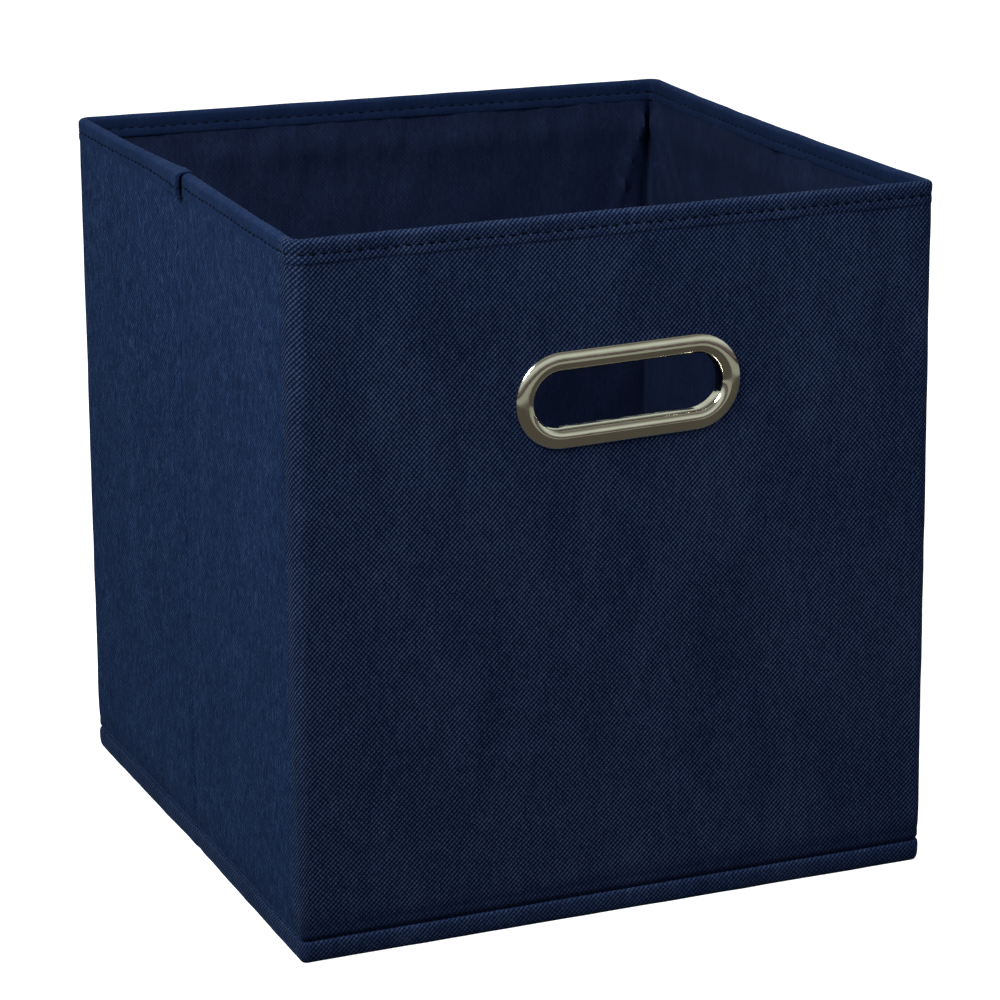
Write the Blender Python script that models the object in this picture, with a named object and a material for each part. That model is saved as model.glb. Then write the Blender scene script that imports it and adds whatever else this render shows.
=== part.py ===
"""Folding fabric storage bin: six stiffened wall panels with a bound rim, a welted base,
an oval metal handle ring and a loose covered base board.

Lengths are in metres. +Z is up, the front with the handle looks along -Y, and the origin is the
middle of the base at floor level. Each wall panel is a board between an outer fabric and a
lining, with a binding folded over its top edge.
"""
import math

import bmesh
import bpy
from mathutils import Vector

MM = 0.001

# Overall size of the bin, over the binding of the rim
BIN_WIDTH = 264.0 * MM
BIN_DEPTH = 262.0 * MM
BIN_HEIGHT = 280.0 * MM

# Sheet thicknesses
OUTER_FABRIC = 0.7 * MM
LINING = 0.6 * MM
WALL_BOARD = 1.8 * MM
HEM_FABRIC = 0.8 * MM
LAYER_GAP = 0.3 * MM

# Rim binding
HEM_DROP = 9.5 * MM
HEM_ROUND = 1.9 * MM
OVERLAP_FROM_CREASE = 10.0 * MM
OVERLAP_LENGTH = 18.0 * MM

# Base: a sewn sheet with a welt around it that stands proud of the walls
WELT_HEIGHT = 8.0 * MM
WELT_PROUD = 1.5 * MM
WELT_THICKNESS = 1.6 * MM
WELT_RADIUS = 6.0 * MM
BOTTOM_FABRIC = 0.8 * MM

# Loose base board in its fabric cover
INSERT_BOARD = 3.0 * MM
INSERT_COVER = 0.7 * MM
INSERT_CLEARANCE = 3.0 * MM
INSERT_RADIUS = 5.0 * MM

# Folding: every hinge line stands this far off the faces that close on each other
HINGE_STANDOFF = 0.3 * MM
CORNER_END_GAP = 0.1 * MM
CREASE_END_GAP = 0.2 * MM

# Oval handle ring in the front wall
HOLE_LENGTH = 78.0 * MM
HOLE_HEIGHT = 22.0 * MM
RING_BORDER = 8.0 * MM
RING_DOME = 2.0 * MM
RING_EDGE = 0.7 * MM
BARREL = 0.9 * MM
BACK_RING_BORDER = 6.5 * MM
BACK_RING = 1.4 * MM
CURL_WIDTH = 2.6 * MM
CURL = 0.7 * MM
HANDLE_X = 2.0 * MM
HANDLE_BELOW_RIM = 68.5 * MM
ARC_STEPS = 14

# Sizes that follow from the ones above
WALL_CORE = OUTER_FABRIC + LAYER_GAP + WALL_BOARD + LAYER_GAP + LINING
HEM_PROUD = LAYER_GAP + HEM_FABRIC
WALL = WALL_CORE + 2 * HEM_PROUD
WALL_FLOOR = WELT_HEIGHT + LAYER_GAP
WALL_TOP = BIN_HEIGHT - HEM_FABRIC - LAYER_GAP
BOARD_SHORTER = 1.0 * MM
INNER_HALF_WIDTH = BIN_WIDTH / 2 - WALL
INNER_HALF_DEPTH = BIN_DEPTH / 2 - WALL
WELT_HALF_WIDTH = BIN_WIDTH / 2 + WELT_PROUD
WELT_HALF_DEPTH = BIN_DEPTH / 2 + WELT_PROUD
CORNER_RADIUS = WALL_CORE - 0.2 * MM
PIVOT_X = INNER_HALF_WIDTH - HINGE_STANDOFF
PIVOT_Y = INNER_HALF_DEPTH - HINGE_STANDOFF
CREASE_X = BIN_WIDTH / 2 + HINGE_STANDOFF

MATERIALS = {
    "outer_fabric": ((0.030, 0.055, 0.125), 0.85, 0.0),
    "lining": ((0.022, 0.040, 0.095), 0.88, 0.0),
    "hem": ((0.034, 0.062, 0.135), 0.82, 0.0),
    "welt": ((0.032, 0.058, 0.130), 0.84, 0.0),
    "bottom_fabric": ((0.028, 0.050, 0.115), 0.86, 0.0),
    "insert_cover": ((0.024, 0.044, 0.104), 0.86, 0.0),
    "chipboard": ((0.420, 0.350, 0.270), 0.90, 0.0),
    "chrome": ((0.800, 0.790, 0.770), 0.12, 1.0),
}


def clear_scene():
    for old in list(bpy.data.objects):
        bpy.data.objects.remove(old, do_unlink=True)


def material_for(name, slot):
    colour, roughness, metallic = MATERIALS[slot]
    made = bpy.data.materials.new(name)
    made.use_nodes = True
    shader = made.node_tree.nodes["Principled BSDF"]
    shader.inputs["Base Color"].default_value = (*colour, 1.0)
    shader.inputs["Roughness"].default_value = roughness
    shader.inputs["Metallic"].default_value = metallic
    made.diffuse_color = (*colour, 1.0)
    return made


def new_object(name, slot, rings, closed=False, smooth=False):
    """Skins equal-length rings of points in order. Open runs get a cap at each end."""
    bm = bmesh.new()
    rows = [[bm.verts.new(point) for point in ring] for ring in rings]
    pairs = list(zip(rows, rows[1:]))
    if closed:
        pairs.append((rows[-1], rows[0]))
    for low, high in pairs:
        count = len(low)
        for i in range(count):
            j = (i + 1) % count
            bm.faces.new((low[i], low[j], high[j], high[i]))
    if not closed:
        bm.faces.new(rows[0])
        bm.faces.new(rows[-1])
    bmesh.ops.recalc_face_normals(bm, faces=bm.faces)
    mesh = bpy.data.meshes.new(name)
    bm.to_mesh(mesh)
    bm.free()
    mesh.materials.append(material_for(name, slot))
    if smooth:
        mesh.shade_smooth()
        mesh.set_sharp_from_angle(angle=math.radians(40))
    made = bpy.data.objects.new(name, mesh)
    bpy.context.scene.collection.objects.link(made)
    return made


def at_height(outline, z):
    return [(x, y, z) for x, y in outline]


def rounded(corners, steps=5):
    """Outline through corners given as (x, y, radius); a radius of zero keeps the corner sharp."""
    outline = []
    count = len(corners)
    for i, (x, y, radius) in enumerate(corners):
        here = Vector((x, y))
        back = (Vector(corners[i - 1][:2]) - here).normalized()
        ahead = (Vector(corners[(i + 1) % count][:2]) - here).normalized()
        if radius <= 0:
            outline.append(tuple(here))
            continue
        centre = here + (back + ahead) * radius
        for step in range(steps + 1):
            turn = step / steps * math.pi / 2
            point = centre - ahead * radius * math.cos(turn) - back * radius * math.sin(turn)
            outline.append(tuple(point))
    return outline


def box_outline(x0, x1, y0, y1, radius=0.0):
    """Rectangle. A radius rounds the two corners on its outer, low-y side."""
    return rounded([(x0, y0, radius), (x1, y0, radius), (x1, y1, 0), (x0, y1, 0)])


def round_outline(x0, x1, y0, y1, radius):
    return rounded([(x0, y0, radius), (x1, y0, radius), (x1, y1, radius), (x0, y1, radius)])


def c_outline(half, outer, inner, end, radius, inset=0.0):
    """A strip across the front that turns round both corners: outer and inner are its two
    faces, end is where its returns stop, and inset thins it on both sides."""
    side = half - inset
    thick = inner - outer
    small = max(radius - thick, 0.2 * MM)
    front = outer + inset
    back = inner - inset
    core = half - thick + inset
    return rounded(
        [
            (-side, front, radius - inset),
            (side, front, radius - inset),
            (side, end, 0),
            (core, end, 0),
            (core, back, small + inset),
            (-core, back, small + inset),
            (-core, end, 0),
            (-side, end, 0),
        ]
    )


def extrude(name, slot, outline, z0, z1, smooth=False):
    return new_object(name, slot, [at_height(outline, z0), at_height(outline, z1)], smooth=smooth)


def stadium(offset, steps=ARC_STEPS):
    """Unit directions and points of the handle hole's edge, moved outwards by offset."""
    radius = HOLE_HEIGHT / 2
    straight = HOLE_LENGTH / 2 - radius
    points = []
    for side in (1, -1):
        for step in range(steps + 1):
            angle = math.pi * (step / steps - 0.5) + (0 if side > 0 else math.pi)
            reach = radius + offset
            points.append((side * straight + reach * math.cos(angle), reach * math.sin(angle)))
    return points


def oval_ring(name, slot, section):
    """Sweeps a closed section of (offset from the hole's edge, depth) points round the hole."""
    loops = [[(x, depth, z) for x, z in stadium(offset)] for offset, depth in section]
    return new_object(name, slot, loops, closed=True, smooth=True)


def hem_section(outer, inner, low, top, rounding):
    """A folded strip in (y, z): outer leg, rounded top and inner leg, open below."""
    section = [(outer, low)]
    arcs = ((outer + rounding, math.pi), (inner - rounding, math.pi / 2))
    for centre, start in arcs:
        for step in range(6):
            turn = start - step / 5 * math.pi / 2
            y = centre + rounding * math.cos(turn)
            section.append((y, top - rounding + rounding * math.sin(turn)))
    section.append((inner, low))
    ceiling = top - HEM_FABRIC
    section += [(inner - HEM_FABRIC, low), (inner - HEM_FABRIC, ceiling)]
    section += [(outer + HEM_FABRIC, ceiling), (outer + HEM_FABRIC, low)]
    return section


def straight_hem(name, x0, x1, reach):
    section = hem_section(-reach, -reach + WALL, BIN_HEIGHT - HEM_DROP, BIN_HEIGHT, HEM_ROUND)
    rings = [[(x, y, z) for y, z in section] for x in (x0, x1)]
    return new_object(name, "hem", rings, smooth=True)


def wrapped_hem(name, half, reach):
    """The binding of a full-width wall: a cap over the whole top edge with closed, rounded ends."""
    low = BIN_HEIGHT - HEM_DROP
    radius = CORNER_RADIUS + HEM_PROUD

    def level(inset, z):
        sharp = max(radius - inset, 0.3 * MM)
        y0 = -reach + inset
        y1 = -reach + WALL - inset
        return at_height(box_outline(-half + inset, half - inset, y0, y1, sharp), z)

    rings = [level(HEM_FABRIC, BIN_HEIGHT - HEM_FABRIC), level(HEM_FABRIC, low), level(0, low)]
    for step in range(6):
        turn = step / 5 * math.pi / 2
        inset = HEM_ROUND * (1 - math.cos(turn))
        rings.append(level(inset, BIN_HEIGHT - HEM_ROUND + HEM_ROUND * math.sin(turn)))
    return new_object(name, "hem", rings, smooth=True)


def wall_layers(reach):
    """The y of each layer's two faces, from the outer fabric inwards."""
    y = -reach + HEM_PROUD
    layers = {}
    for part, thick in (("outer_fabric", OUTER_FABRIC), ("board", WALL_BOARD), ("lining", LINING)):
        layers[part] = (y, y + thick)
        y += thick + LAYER_GAP
    return layers


def full_wall(prefix, half, reach):
    """A front or back wall: its outer fabric turns round both upright corners."""
    layers = wall_layers(reach)
    side = half - HEM_PROUD
    outer, inner = layers["outer_fabric"]
    wrap = c_outline(side, outer, inner, layers["lining"][1], CORNER_RADIUS)
    fabric = extrude(f"{prefix}_outer_fabric", "outer_fabric", wrap, WALL_FLOOR, WALL_TOP, True)
    core = side - OUTER_FABRIC - LAYER_GAP
    front, back = layers["board"]
    board_end = core - BOARD_SHORTER
    outline = box_outline(-board_end, board_end, front, back, WALL_BOARD * 0.9)
    low, high = WALL_FLOOR + BOARD_SHORTER, WALL_TOP - BOARD_SHORTER
    board = extrude(f"{prefix}_board", "chipboard", outline, low, high, True)
    front, back = layers["lining"]
    lining_end = core - LAYER_GAP / 3
    outline = box_outline(-lining_end, lining_end, front, back)
    lining = extrude(f"{prefix}_lining", "lining", outline, WALL_FLOOR, WALL_TOP)
    hem = wrapped_hem(f"{prefix}_hem", half, reach)
    return [fabric, board, lining, hem]


def half_wall(prefix, x0, x1, reach):
    """One of the two panels of a folding side wall, between x0 and x1 along the wall."""
    layers = wall_layers(reach)
    made = []
    slots = {"outer_fabric": "outer_fabric", "board": "chipboard", "lining": "lining"}
    for part, (front, back) in layers.items():
        short = BOARD_SHORTER if part == "board" else 0.0
        outline = box_outline(x0 + short, x1 - short, front, back)
        low, high = WALL_FLOOR + short, WALL_TOP - short
        made.append(extrude(f"{prefix}_{part}", slots[part], outline, low, high))
    made.append(straight_hem(f"{prefix}_hem", x0, x1, reach))
    return made


def welt_levels():
    """(inset, z) up a welt: it is a folded strip, so its top edge is rounded."""
    edge = WELT_THICKNESS * 0.35
    return ((0.0, 0.0), (0.0, WELT_HEIGHT - edge), (edge * 0.4, WELT_HEIGHT - edge * 0.3), (edge, WELT_HEIGHT))


def welt_across(name, half, reach):
    end = -reach + WELT_RADIUS + LAYER_GAP
    faces = (half, -reach, -reach + WELT_THICKNESS, end, WELT_RADIUS)
    rings = [at_height(c_outline(*faces, inset), z) for inset, z in welt_levels()]
    return new_object(name, "welt", rings, smooth=True)


def welt_along(name, half, reach):
    run = half - WELT_RADIUS - 2 * LAYER_GAP
    rings = []
    for inset, z in welt_levels():
        y0 = -reach + inset
        y1 = -reach + WELT_THICKNESS - inset
        rings.append(at_height(box_outline(-run, run, y0, y1), z))
    return new_object(name, "welt", rings)


def pivot(name, x, y, z=0.0, parent=None):
    """An empty on a joint's axis. x, y and z are in the bin's frame."""
    made = bpy.data.objects.new(name, None)
    made.empty_display_size = 20 * MM
    bpy.context.scene.collection.objects.link(made)
    place(made, Vector((x, y, z)), 0.0, parent)
    return made


spots = {}


def place(thing, spot, turn, parent):
    """Puts a thing at a spot of the bin's frame, under its parent. Only leaves are turned."""
    base = spots[parent.name] if parent else Vector((0, 0, 0))
    thing.parent = parent
    thing.location = spot - base
    thing.rotation_euler = (0, 0, turn)
    spots[thing.name] = spot


def attach(things, parent, turn=0.0):
    for thing in things:
        place(thing, Vector((0, 0, 0)), turn, parent)


clear_scene()
HALF_X = BIN_WIDTH / 2
HALF_Y = BIN_DEPTH / 2
QUARTER = math.pi / 2

# Hinge lines: front corners, side creases, rear corner, and the loose insert's lift
front_frame = pivot("front_frame", 0, 0)
left_front_pivot = pivot("left_front_pivot", -PIVOT_X, -PIVOT_Y, parent=front_frame)
left_crease_pivot = pivot("left_crease_pivot", -CREASE_X, 0, parent=left_front_pivot)
back_pivot = pivot("back_pivot", -PIVOT_X, PIVOT_Y, parent=left_crease_pivot)
right_front_pivot = pivot("right_front_pivot", PIVOT_X, -PIVOT_Y, parent=front_frame)
right_crease_pivot = pivot("right_crease_pivot", CREASE_X, 0, parent=right_front_pivot)
insert_lift = pivot("insert_lift", 0, 0, BOTTOM_FABRIC, parent=front_frame)

# Full-width walls
front_wall = full_wall("front", HALF_X, HALF_Y)
attach(front_wall, front_frame)
back_wall = full_wall("back", HALF_X, HALF_Y)
attach(back_wall, back_pivot, math.pi)

# Side walls in two panels each, between the hinge lines
near = CREASE_END_GAP
far = PIVOT_Y - CORNER_END_GAP
attach(half_wall("left_front", near, far, HALF_X), left_front_pivot, -QUARTER)
attach(half_wall("left_rear", -far, -near, HALF_X), left_crease_pivot, -QUARTER)
attach(half_wall("right_front", -far, -near, HALF_X), right_front_pivot, QUARTER)
attach(half_wall("right_rear", near, far, HALF_X), right_crease_pivot, QUARTER)

# The binding's free end, lapped over its start just behind the left crease
lap_face = -HALF_X - LAYER_GAP
lap_x1 = -OVERLAP_FROM_CREASE
lap_outline = box_outline(lap_x1 - OVERLAP_LENGTH, lap_x1, lap_face - HEM_FABRIC, lap_face)
lap_low = BIN_HEIGHT - HEM_DROP
lap = extrude("left_hem_overlap", "hem", lap_outline, lap_low, BIN_HEIGHT - HEM_ROUND)
attach([lap], left_crease_pivot, -QUARTER)

# Handle ring: domed flange and barrel in one piece, its end curled over the back ring
front_layers = wall_layers(HALF_Y)
outside = front_layers["outer_fabric"][0] - LAYER_GAP
inside = front_layers["lining"][1] + LAYER_GAP
curl_start = inside + BACK_RING + LAYER_GAP
flange = [(RING_BORDER, outside)]
for dome_step in range(9):
    arc = dome_step / 8 * math.pi
    across = RING_BORDER / 2 * (1 + math.cos(arc))
    flange.append((across, outside - RING_EDGE - (RING_DOME - RING_EDGE) * math.sin(arc)))
barrel = [(0, curl_start + CURL * 0.5), (CURL * 0.6, curl_start + CURL), (CURL_WIDTH, curl_start + CURL)]
barrel += [(CURL_WIDTH, curl_start), (BARREL, curl_start), (BARREL, outside)]
handle_ring = oval_ring("handle_ring", "chrome", flange + barrel)
ring_low = BARREL + LAYER_GAP
back_edge = inside + BACK_RING
back_section = [(ring_low, inside), (ring_low, back_edge), (BACK_RING_BORDER - BACK_RING, back_edge)]
back_section += [(BACK_RING_BORDER - BACK_RING * 0.3, back_edge - BACK_RING * 0.3)]
back_section += [(BACK_RING_BORDER, inside + BACK_RING * 0.3), (BACK_RING_BORDER, inside)]
handle_back_ring = oval_ring("handle_back_ring", "chrome", back_section)
handle_spot = Vector((HANDLE_X, 0, BIN_HEIGHT - HANDLE_BELOW_RIM))
for ring in (handle_ring, handle_back_ring):
    place(ring, handle_spot, 0.0, front_frame)

# The hole through the front wall clears the barrel
cut_y = (outside - 5 * MM, inside + 5 * MM)
cut_loops = [[(x, y, z) for x, z in stadium(BARREL + LAYER_GAP)] for y in cut_y]
handle_cutter = new_object("handle_cutter", "chipboard", cut_loops)
handle_cutter.hide_render = True
handle_cutter.display_type = "WIRE"
place(handle_cutter, handle_spot, 0.0, front_frame)
for sheet in front_wall[:3]:
    cut = sheet.modifiers.new("handle_hole", "BOOLEAN")
    cut.operation = "DIFFERENCE"
    cut.solver = "EXACT"
    cut.object = handle_cutter

# Base: sheet on the floor inside four welts
sheet_x = WELT_HALF_WIDTH - WELT_THICKNESS - LAYER_GAP
sheet_y = WELT_HALF_DEPTH - WELT_THICKNESS - LAYER_GAP
sheet_radius = WELT_RADIUS - WELT_THICKNESS
sheet_outline = round_outline(-sheet_x, sheet_x, -sheet_y, sheet_y, sheet_radius)
bottom = extrude("bottom_fabric", "bottom_fabric", sheet_outline, 0.0, BOTTOM_FABRIC)
attach([bottom], front_frame)
attach([welt_across("welt_front", WELT_HALF_WIDTH, WELT_HALF_DEPTH)], front_frame)
attach([welt_across("welt_back", WELT_HALF_WIDTH, WELT_HALF_DEPTH)], front_frame, math.pi)
attach([welt_along("welt_left", WELT_HALF_DEPTH, WELT_HALF_WIDTH)], front_frame, -QUARTER)
attach([welt_along("welt_right", WELT_HALF_DEPTH, WELT_HALF_WIDTH)], front_frame, QUARTER)

# Loose insert, from its underside up: under-sheet, board, and a cover folded down round it
insert_x = INNER_HALF_WIDTH - INSERT_CLEARANCE
insert_y = INNER_HALF_DEPTH - INSERT_CLEARANCE
skirt = INSERT_COVER + LAYER_GAP
under_z = BOTTOM_FABRIC + LAYER_GAP
board_z = under_z + INSERT_COVER + LAYER_GAP
cover_z = board_z + INSERT_BOARD + LAYER_GAP


def insert_level(inset, z):
    radius = max(INSERT_RADIUS - inset, 0.5 * MM)
    x, y = insert_x - inset, insert_y - inset
    return at_height(round_outline(-x, x, -y, y, radius), z - BOTTOM_FABRIC)


under_rings = [insert_level(skirt, under_z), insert_level(skirt, under_z + INSERT_COVER)]
board_rings = [insert_level(skirt, board_z), insert_level(skirt, board_z + INSERT_BOARD)]
cover_top = cover_z + INSERT_COVER
cover_rings = [insert_level(INSERT_COVER, cover_z), insert_level(INSERT_COVER, under_z)]
cover_rings.append(insert_level(0, under_z))
for round_step in range(4):
    lift = round_step / 3 * math.pi / 2
    side_inset = INSERT_COVER * 1.5 * (1 - math.cos(lift))
    cover_rings.append(insert_level(side_inset, cover_top - INSERT_COVER * 1.5 * (1 - math.sin(lift))))
insert_parts = [
    new_object("insert_cover_bottom", "insert_cover", under_rings),
    new_object("insert_board", "chipboard", board_rings),
    new_object("insert_cover_top", "insert_cover", cover_rings, smooth=True),
]
for part in insert_parts:
    place(part, Vector((0, 0, BOTTOM_FABRIC)), 0.0, insert_lift)
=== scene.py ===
"""Looks of the folding fabric storage bin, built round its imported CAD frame.

Lengths are in metres, in the CAD's frame: +Z up, the front looks along -Y. Every wall layer is
swept round one plan curve, so that outer fabric, boards, lining and binding stay parallel.
"""

import math

import bpy
import numpy as np
from mathutils import Matrix, Vector


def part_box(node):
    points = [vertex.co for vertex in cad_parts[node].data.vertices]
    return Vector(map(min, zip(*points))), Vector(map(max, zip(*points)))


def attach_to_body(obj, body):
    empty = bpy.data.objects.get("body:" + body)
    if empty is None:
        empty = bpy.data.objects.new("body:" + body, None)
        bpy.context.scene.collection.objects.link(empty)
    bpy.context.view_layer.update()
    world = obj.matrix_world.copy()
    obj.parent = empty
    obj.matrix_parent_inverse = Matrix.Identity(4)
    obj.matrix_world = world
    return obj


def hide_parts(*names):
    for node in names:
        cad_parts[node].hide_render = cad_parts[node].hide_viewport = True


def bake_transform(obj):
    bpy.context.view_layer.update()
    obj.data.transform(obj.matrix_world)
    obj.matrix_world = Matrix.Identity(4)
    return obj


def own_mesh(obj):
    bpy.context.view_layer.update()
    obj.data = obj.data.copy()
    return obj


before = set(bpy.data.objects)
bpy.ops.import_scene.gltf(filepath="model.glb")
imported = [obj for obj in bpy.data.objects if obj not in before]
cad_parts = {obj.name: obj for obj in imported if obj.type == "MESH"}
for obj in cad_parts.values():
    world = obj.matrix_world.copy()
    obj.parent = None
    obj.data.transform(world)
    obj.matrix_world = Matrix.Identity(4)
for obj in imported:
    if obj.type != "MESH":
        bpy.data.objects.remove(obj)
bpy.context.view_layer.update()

MM = 0.001

# Sewn corners of the rim (x, y, height) and of the foot (x, y), in mm: front left, front right,
# rear right, rear left. A soft bin doesn't stand quite square.
RIM_CORNERS = [(-133.6, -131.2, 279.7), (132.4, -129.2, 280.4)]
RIM_CORNERS += [(135.6, 129.2, 279.5), (-134.4, 132.0, 280.6)]
FOOT_CORNERS = [(-133.8, -132.4), (134.2, -131.1), (134.0, 131.6), (-133.6, 131.4)]
CORNER_RADII = [(2.8, 6.5), (3.4, 5.0), (5.5, 6.0), (3.6, 5.5)]  # at the foot and at the rim
HEM_OUT = 0.4  # how far the binding stands out of the walls
WELT_OUT = 0.35

# How far each wall stands in at its middle, in mm: at the foot, more at the rim, power of the height
WALL_BOWS = [(0.2, 1.0, 2), (0.6, 2.4, 1.1), (0.0, 0.8, 2), (0.8, 3.2, 1.2)]

# Layers of a wall as (outer depth, inner depth) from the outer fabric's face, in mm
LAYERS = {"outer_fabric": (0.0, 0.6), "board": (0.75, 2.6), "lining": (2.8, 3.3)}
RIM = 280.0  # nominal height of the rim, in mm
MID_HEIGHT = 140.0
BOARD_FOOT, BOARD_TOP = 11.2, 277.6
HEM_BOTTOM = 270.7
HEM_TOP = 278.2  # where the binding starts to turn over the rim
HEM_THICK = 0.8
HEM_INNER = 4.2
STITCH_PITCH = 4.6
STITCH_LENGTH = 3.0
STITCH_DROP = 5.4
THREAD_RADIUS = 0.36
THREAD_PROUD, THREAD_SUNK = 0.12, -0.08  # of the outer and of the inner row, in mm
SEAM_TOP = 10.8  # below this the outer fabric is tucked in behind the welt, in mm
CREASE_DIP = 1.8  # how far the lining sinks between the boards of a side wall, in mm
PLEAT_SLOPES = [(0.10, 2.0), (0.26, 2.6), (0.46, 2.2), (0.80, 1.8)]  # (lean, depth in mm)
BOTTOM_TUCK = 0.9  # depth at which the bottom sheet's edge is caught in the welt, in mm

WALL_RUN = 252.0  # straight part of a wall along the nominal plan, in mm
WALL_LENGTH = 254.0
ARC_MIDDLE = 4.3  # from a wall's end to the middle of the corner's turn, in mm
SIDE_RUN = WALL_RUN + 5.5 * math.pi / 2  # one wall and one corner, in mm
ROUND = 4 * SIDE_RUN
BEND = 10.0  # half width of the fabric that bends at a side crease, in mm
CORNER_RUN = 4.0  # flat fabric each side of a corner that bends with it, in mm

LAP_END = -1.0  # y of the binding's open end on the left wall, in mm
LAP_FADE = 52.0  # y where the lapped end lies flat again
LAP_OUT, LAP_IN, LAP_UP = 3.5, 0.5, 1.0
LAP_WALL_END = (WALL_LENGTH / 2 - LAP_END) / WALL_LENGTH


def waves(count, wavelength, seed, stretch=1.0):
    """A fixed set of plane waves. stretch over 1 makes them longer along the height."""
    rng = np.random.RandomState(seed)
    angle = rng.uniform(0, 2 * math.pi, count)
    length = wavelength * rng.uniform(0.7, 1.6, count)
    k = 2 * math.pi / length
    once = 2 * math.pi / ROUND
    ks = np.round(np.cos(angle) * k / once) * once
    return ks, np.sin(angle) * k / stretch, rng.uniform(0, 2 * math.pi, count)


def ripple(field, s, z):
    """Sum of plane waves at perimeter s and height z, in mm, roughly from -1 to 1.

    Each wave runs a whole number of times round the bin, so it meets itself at the first corner.
    """
    ks, kz, phase = field
    return np.sin(np.multiply.outer(s, ks) + np.multiply.outer(z, kz) + phase).sum(-1) / math.sqrt(len(ks))


SOFT_LARGE = waves(14, 90, 3)
SOFT_SMALL = waves(22, 26, 5)
SOFT_FINE = waves(30, 11, 8, 1.6)
LINING_LARGE = waves(16, 60, 11, 1.8)
LINING_SMALL = waves(26, 20, 12, 1.5)
LINING_FINE = waves(18, 9, 13, 4.0)
HEM_WAVE = waves(12, 22, 15)

# ---- plan of the walls


def wall_columns(wall, start, end, step):
    """Columns along a wall. start and end are shares of the way between its two tangent points."""
    count = max(2, int(round(abs(end - start) * WALL_LENGTH / step)) + 1)
    return [(0, wall, float(w)) for w in np.linspace(start, end, count)]


def arc_columns(corner, start=0.0, end=1.0, count=11):
    return [(1, corner, float(q)) for q in np.linspace(start, end, count)]


def joined(*parts):
    columns = []
    for part in parts:
        for column in part:
            if not columns or not same_column(columns[-1], column):
                columns.append(column)
    return columns


def same_column(a, b):
    """The end of a wall or an arc and the start of what follows it are one column."""
    return a == b or (a[0] != b[0] and a[2] == 1.0 and b[2] == 0.0)


def at_z(low, high, z):
    share = np.clip(z / RIM, 0, 1.02)[..., None]
    return low + (high - low) * share


CORNER_SIGN = np.array([(-1, -1), (1, -1), (1, 1), (-1, 1)], float)
RIM_XY = np.array([c[:2] for c in RIM_CORNERS]) - CORNER_SIGN * HEM_OUT
FOOT_XY = np.array(FOOT_CORNERS) - CORNER_SIGN * WELT_OUT
RADII = np.array(CORNER_RADII)
RIM_Z = np.array([c[2] for c in RIM_CORNERS])


def left_crease_y(z):
    return -5.0 + 14.0 * z / RIM


def bow(wall, w, z):
    """How far a wall stands inside the straight line between its corners, in mm."""
    low, more, power = WALL_BOWS[wall]
    reach = low + more * np.clip(z / RIM, 0, 1) ** power
    if wall == 3:
        y = WALL_LENGTH / 2 - WALL_LENGTH * w
        past = y - left_crease_y(z)
        away = np.sqrt(past**2 + 9.0**2) / 130.0
        shape = np.clip(1.0 - away, 0, 1) ** np.where(past > 0, 1.7, 1.25)
        crease = np.exp(-((past / 1.8) ** 2))
        return reach * shape + 0.46 * crease
    if wall == 1:
        y = -WALL_LENGTH / 2 + WALL_LENGTH * w
        away = np.abs(y - 6.0) / 131.0
        crease = np.exp(-(((y - 2.0) / 4.0) ** 2))
        return reach * np.clip(1.0 - away**1.6, 0, 1) + 0.15 * crease
    return reach * (1.0 - np.abs(2 * w - 1) ** 2)


def perimeters(columns):
    """Distances of the columns round the bin in mm, on the nominal plan, from the front wall's start."""
    found = []
    for kind, index, part in columns:
        along = part * WALL_RUN if kind == 0 else (SIDE_RUN - WALL_RUN) * (part - 1)
        found.append(index * SIDE_RUN + along)
    if columns[0][1] == 3 and columns[-1][1] == 0:
        found = [s - ROUND if s > ROUND / 2 else s for s in found]
    return np.array(found)


def plan(columns, z, depth):
    """Points of the plan curve at heights z, each column moved inwards by depth.

    z has shape (rows,) and depth (rows,) or (rows, columns). Returns (rows, columns, 3) in mm.
    """
    z = np.asarray(z, float)
    depth = np.asarray(depth, float)
    if depth.ndim == 1:
        depth = np.repeat(depth[:, None], len(columns), 1)
    corners = np.stack([at_z(FOOT_XY[i], RIM_XY[i], z) for i in range(4)], 1)
    radius = np.stack([at_z(RADII[i, :1], RADII[i, 1:], z)[..., 0] for i in range(4)], 1)
    edge = np.roll(corners, -1, 1) - corners
    edge /= np.linalg.norm(edge, axis=2, keepdims=True)
    normal = np.stack([edge[..., 1], -edge[..., 0]], -1)
    before = np.roll(normal, 1, 1)
    dot = (before * normal).sum(-1, keepdims=True)
    centre = corners - radius[..., None] * (before + normal) / (1 + dot)
    out = np.zeros((len(z), len(columns), 3))
    lift = (RIM_Z - RIM)[None, :] * np.clip((z - 120.0) / 160.0, 0, 1)[:, None] ** 1.5
    for c, (kind, index, part) in enumerate(columns):
        after = (index + 1) % 4
        if kind == 0:
            a = centre[:, index] + radius[:, index, None] * normal[:, index]
            b = centre[:, after] + radius[:, after, None] * normal[:, index]
            inward = depth[:, c] + bow(index, part, z)
            spot = a + (b - a) * part - normal[:, index] * inward[:, None]
            high = lift[:, index] + (lift[:, after] - lift[:, index]) * part
        else:
            turn = np.arctan2(
                before[:, index, 0] * normal[:, index, 1] - before[:, index, 1] * normal[:, index, 0],
                dot[:, index, 0],
            )
            angle = np.arctan2(before[:, index, 1], before[:, index, 0]) + turn * part
            reach = np.maximum(radius[:, index] - depth[:, c], 0.15 + 0.02 * depth[:, c])
            inset = np.maximum(depth[:, c] - radius[:, index], 0.0)
            middle = centre[:, index] - inset[:, None] * (before[:, index] + normal[:, index]) / (
                1 + dot[:, index]
            )
            spot = middle + reach[:, None] * np.stack([np.cos(angle), np.sin(angle)], -1)
            high = lift[:, index]
        out[:, c, :2] = spot
        out[:, c, 2] = z + high
    return out


# ---- meshes


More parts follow.
